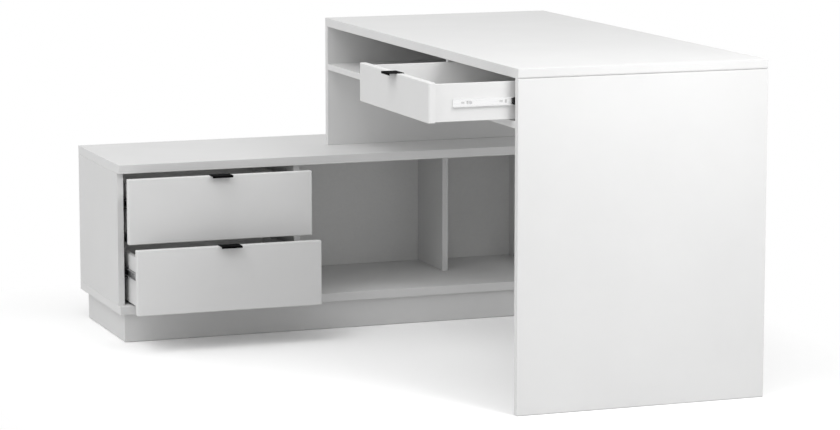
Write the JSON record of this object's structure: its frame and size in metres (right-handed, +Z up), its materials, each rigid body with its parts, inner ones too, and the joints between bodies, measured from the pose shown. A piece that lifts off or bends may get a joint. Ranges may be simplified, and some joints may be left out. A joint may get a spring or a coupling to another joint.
{
  "type": "corner desk",
  "caption": "L-shaped corner desk: a low sideboard with overlay drawers and open bays carries one end of a desk with a shelf and an inset drawer; the other end is a panel.",
  "frame": {"origin": "on the floor, under the middle of the whole piece", "axes": "+X along the sideboard to the desk's end, +Y from the desk's near end to the sideboard's back, +Z up"},
  "size_m": [1.2, 1.512, 0.767],
  "materials": {
    "white_board": "matt white melamine on chipboard",
    "white_hardboard": "white lacquered hardboard",
    "black_handle": "matt black powder coat",
    "runner_steel": "zinc plated",
    "black_plastic": "moulded",
    "zinc_fitting": "zinc plated",
    "beech_dowel": "raw beech"
  },
  "bodies": {
    "carcass": {"sideboard_top": "white_board", "sideboard_bottom": "white_board", "sideboard_left_side": "white_board", "sideboard_right_side": "white_board", "drawer_divider": "white_board", "half_divider": "white_board", "sideboard_back": "white_hardboard", "plinth_front": "white_board", "plinth_back": "white_board", "plinth_left": "white_board", "plinth_right": "white_board", "desk_top": "white_board", "end_panel": "white_board", "far_panel": "white_board", "desk_shelf": "white_board", "shelf_divider": "white_board", "desk_back": "white_board", "carcass_dowels": "beech_dowel", "cam_discs": "zinc_fitting", "cam_bolts": "zinc_fitting", "confirmat_screws": "zinc_fitting", "back_panel_nails": "zinc_fitting", "runner_screws": "zinc_fitting", "runner_end_stops": "black_plastic", "upper_drawer_left_outer_runner": "runner_steel", "upper_drawer_right_outer_runner": "runner_steel", "lower_drawer_left_outer_runner": "runner_steel", "lower_drawer_right_outer_runner": "runner_steel", "desk_drawer_left_outer_runner": "runner_steel", "desk_drawer_right_outer_runner": "runner_steel"},
    "upper_drawer": {"upper_drawer_front": "white_board", "upper_drawer_left_side": "white_board", "upper_drawer_right_side": "white_board", "upper_drawer_back": "white_board", "upper_drawer_bottom": "white_hardboard", "upper_drawer_handle": "black_handle", "upper_drawer_fasteners": "zinc_fitting", "upper_drawer_left_inner_runner": "runner_steel", "upper_drawer_right_inner_runner": "runner_steel"},
    "upper_drawer_cages": {"upper_drawer_ball_cages": "zinc_fitting"},
    "lower_drawer": {"lower_drawer_front": "white_board", "lower_drawer_left_side": "white_board", "lower_drawer_right_side": "white_board", "lower_drawer_back": "white_board", "lower_drawer_bottom": "white_hardboard", "lower_drawer_handle": "black_handle", "lower_drawer_fasteners": "zinc_fitting", "lower_drawer_left_inner_runner": "runner_steel", "lower_drawer_right_inner_runner": "runner_steel"},
    "lower_drawer_cages": {"lower_drawer_ball_cages": "zinc_fitting"},
    "desk_drawer": {"desk_drawer_front": "white_board", "desk_drawer_left_side": "white_board", "desk_drawer_right_side": "white_board", "desk_drawer_back": "white_board", "desk_drawer_bottom": "white_hardboard", "desk_drawer_handle": "black_handle", "desk_drawer_fasteners": "zinc_fitting", "desk_drawer_left_inner_runner": "runner_steel", "desk_drawer_right_inner_runner": "runner_steel"},
    "desk_drawer_cages": {"desk_drawer_ball_cages": "zinc_fitting"}
  },
  "joints": [
    {"name": "upper_drawer_slide", "type": "slide", "parent": "carcass", "child": "upper_drawer", "axis": [0, -1, 0], "range_m": [-0.086, 0.164]},
    {"name": "lower_drawer_slide", "type": "slide", "parent": "carcass", "child": "lower_drawer", "axis": [0, -1, 0], "range_m": [-0.159, 0.091]},
    {"name": "desk_drawer_slide", "type": "slide", "parent": "carcass", "child": "desk_drawer", "axis": [-1, 0, 0], "range_m": [-0.2, 0.15]},
    {"name": "upper_drawer_cages_roll", "type": "slide", "parent": "carcass", "child": "upper_drawer_cages", "axis": [0, -1, 0], "range_m": [-0.043, 0.082]},
    {"name": "lower_drawer_cages_roll", "type": "slide", "parent": "carcass", "child": "lower_drawer_cages", "axis": [0, -1, 0], "range_m": [-0.0795, 0.0455]},
    {"name": "desk_drawer_cages_roll", "type": "slide", "parent": "carcass", "child": "desk_drawer_cages", "axis": [-1, 0, 0], "range_m": [-0.1, 0.075]}
  ],
  "couplings": [
    {"joint": "upper_drawer_cages_roll", "follows": "upper_drawer_slide", "ratio": 0.5},
    {"joint": "lower_drawer_cages_roll", "follows": "lower_drawer_slide", "ratio": 0.5},
    {"joint": "desk_drawer_cages_roll", "follows": "desk_drawer_slide", "ratio": 0.5}
  ]
}
